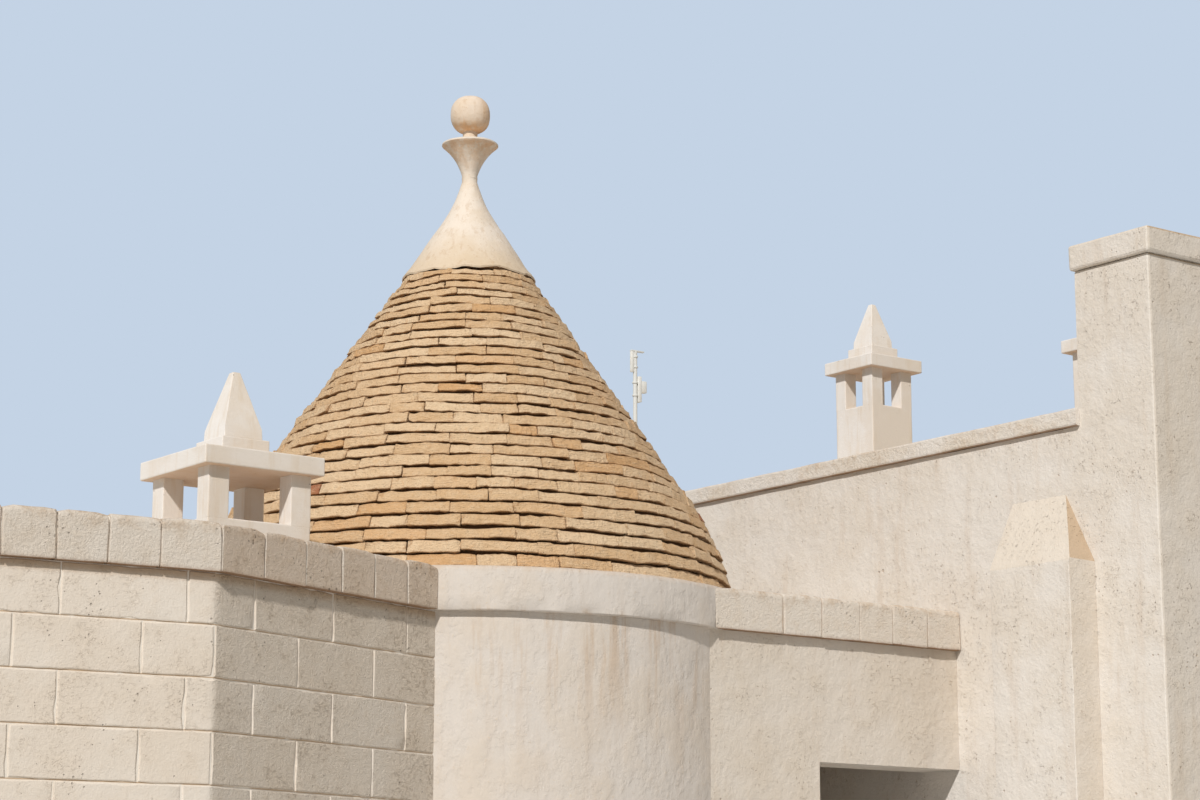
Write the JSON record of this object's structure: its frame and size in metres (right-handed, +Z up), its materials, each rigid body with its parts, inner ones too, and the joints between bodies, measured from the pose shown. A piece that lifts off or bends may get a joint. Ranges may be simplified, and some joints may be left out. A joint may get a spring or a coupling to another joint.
{
  "type": "trullo house",
  "caption": "Round plastered drum with a slab-stone cone and ball pinnacle between flat-roofed masonry wings with pyramid-topped chimneys",
  "frame": {"origin": "on the axis of the round drum, at ground level", "axes": "+Z up, -Y towards the front with the doorway, +X along the house towards the taller east wing"},
  "size_m": [12.275, 6.77, 6.8408],
  "materials": {
    "cone_stone": "rough limestone slabs",
    "plaster": "lime plaster",
    "block_wall": "sawn tufa blocks with pale joints",
    "coping_stone": "tufa coping with ochre stains",
    "render": "rough limewashed render",
    "chimney_stone": "smooth limewashed stone",
    "floor_stone": "worn stone paving",
    "roof_screed": "lime screed",
    "mast_paint": "white paint",
    "antenna_plastic": "white plastic"
  },
  "bodies": {
    "root": {"cone_shell_front": "cone_stone", "cone_shell_back": "cone_stone", "cone_top": "cone_stone", "plaster_tip": "plaster", "pinnacle_cup": "plaster", "pinnacle_ball": "plaster", "drum_wall_front": "plaster", "drum_wall_back": "plaster", "drum_wall_upper": "plaster", "drum_coping": "plaster", "trullo_floor": "floor_stone", "west_front_wall": "block_wall", "west_flank_wall": "block_wall", "west_end_wall": "block_wall", "west_back_wall": "block_wall", "west_back_flank_wall": "block_wall", "west_coping": "coping_stone", "west_roof": "roof_screed", "west_floor": "floor_stone", "west_chimney_base": "chimney_stone", "west_chimney_posts": "chimney_stone", "west_chimney_slab": "chimney_stone", "west_chimney_point": "chimney_stone", "link_front_wall": "render", "link_doorway_head": "render", "link_back_wall": "render", "link_front_coping": "coping_stone", "link_back_coping": "coping_stone", "link_roof": "roof_screed", "link_floor": "floor_stone", "east_wing_west_wall_front": "render", "east_wing_west_wall_back": "render", "east_wing_passage_head": "render", "east_wing_front_wall": "render", "east_wing_end_wall": "render", "east_wing_back_wall": "render", "east_wing_coping": "render", "east_wing_roof": "roof_screed", "east_wing_floor": "floor_stone", "stack_shaft": "render", "stack_cap": "render", "buttress": "render", "small_chimney_1_shaft": "chimney_stone", "small_chimney_1_slab": "chimney_stone", "small_chimney_1_point": "chimney_stone", "small_chimney_2_shaft": "chimney_stone", "small_chimney_2_slab": "chimney_stone", "small_chimney_2_point": "chimney_stone", "antenna_mast": "mast_paint", "mast_bar": "mast_paint", "antenna_box": "antenna_plastic", "antenna_panel": "antenna_plastic"}
  },
  "joints": []
}
